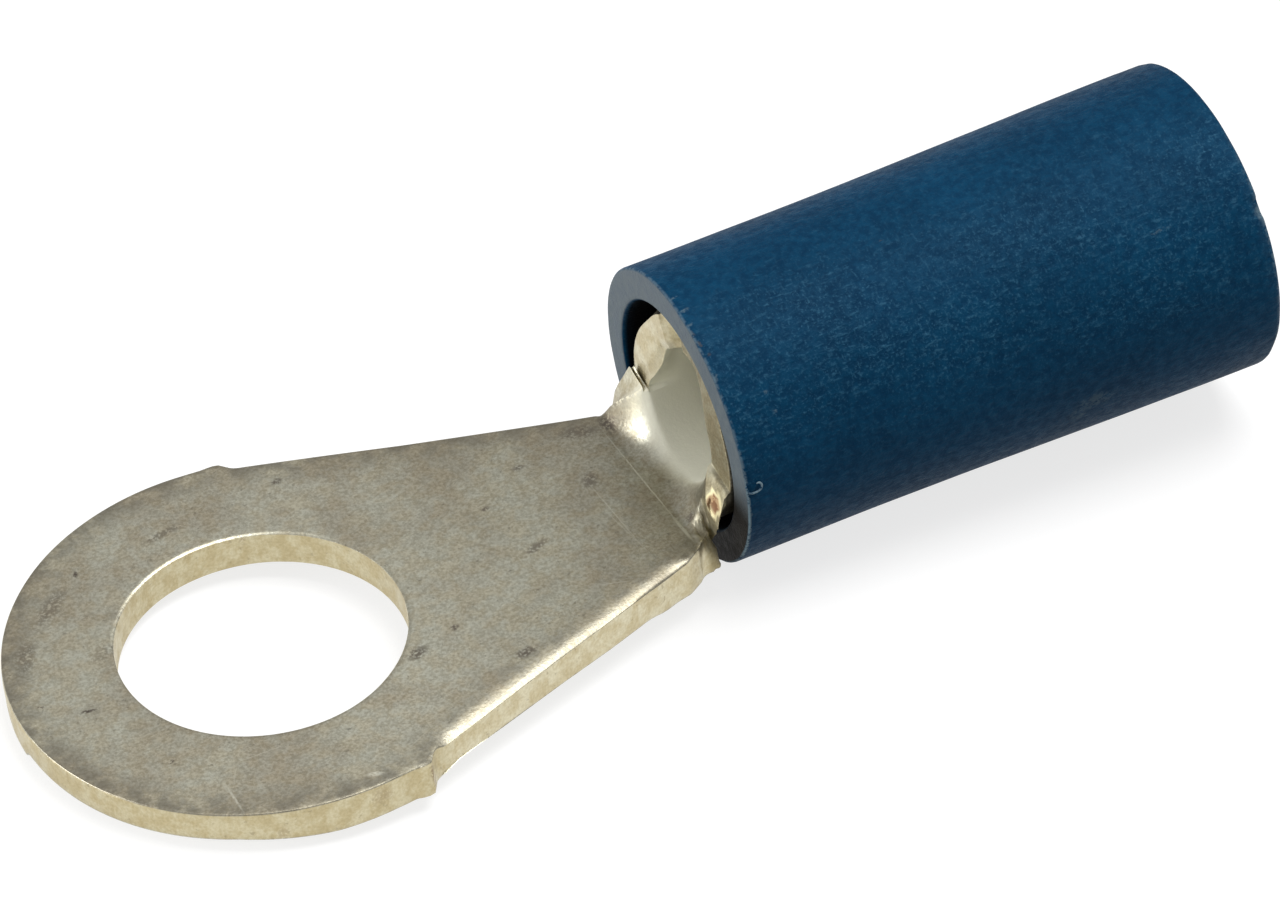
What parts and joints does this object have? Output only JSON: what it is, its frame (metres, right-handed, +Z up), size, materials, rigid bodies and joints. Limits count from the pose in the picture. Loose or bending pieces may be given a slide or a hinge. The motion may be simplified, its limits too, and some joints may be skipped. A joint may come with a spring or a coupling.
{
  "type": "ring terminal",
  "caption": "Insulated crimp ring terminal: flat stamped ring tongue with a stud hole, tapered neck and rolled wire barrel inside a blue plastic sleeve.",
  "frame": {"origin": "centre of the stud hole on the underside of the tongue, the face that seats on the post", "axes": "+Z up through the stud hole, +X from the ring along the barrel to the wire end, +Y across the tongue"},
  "size_m": [0.0241, 0.0094, 0.0059],
  "materials": {
    "tinned_copper": "dull electro-tinned copper, stained and lightly scratched",
    "blue_sleeve": "matte moulded insulation with fine pale flecks"
  },
  "bodies": {
    "root": {"terminal": "tinned_copper", "sleeve": "blue_sleeve"}
  },
  "joints": []
}
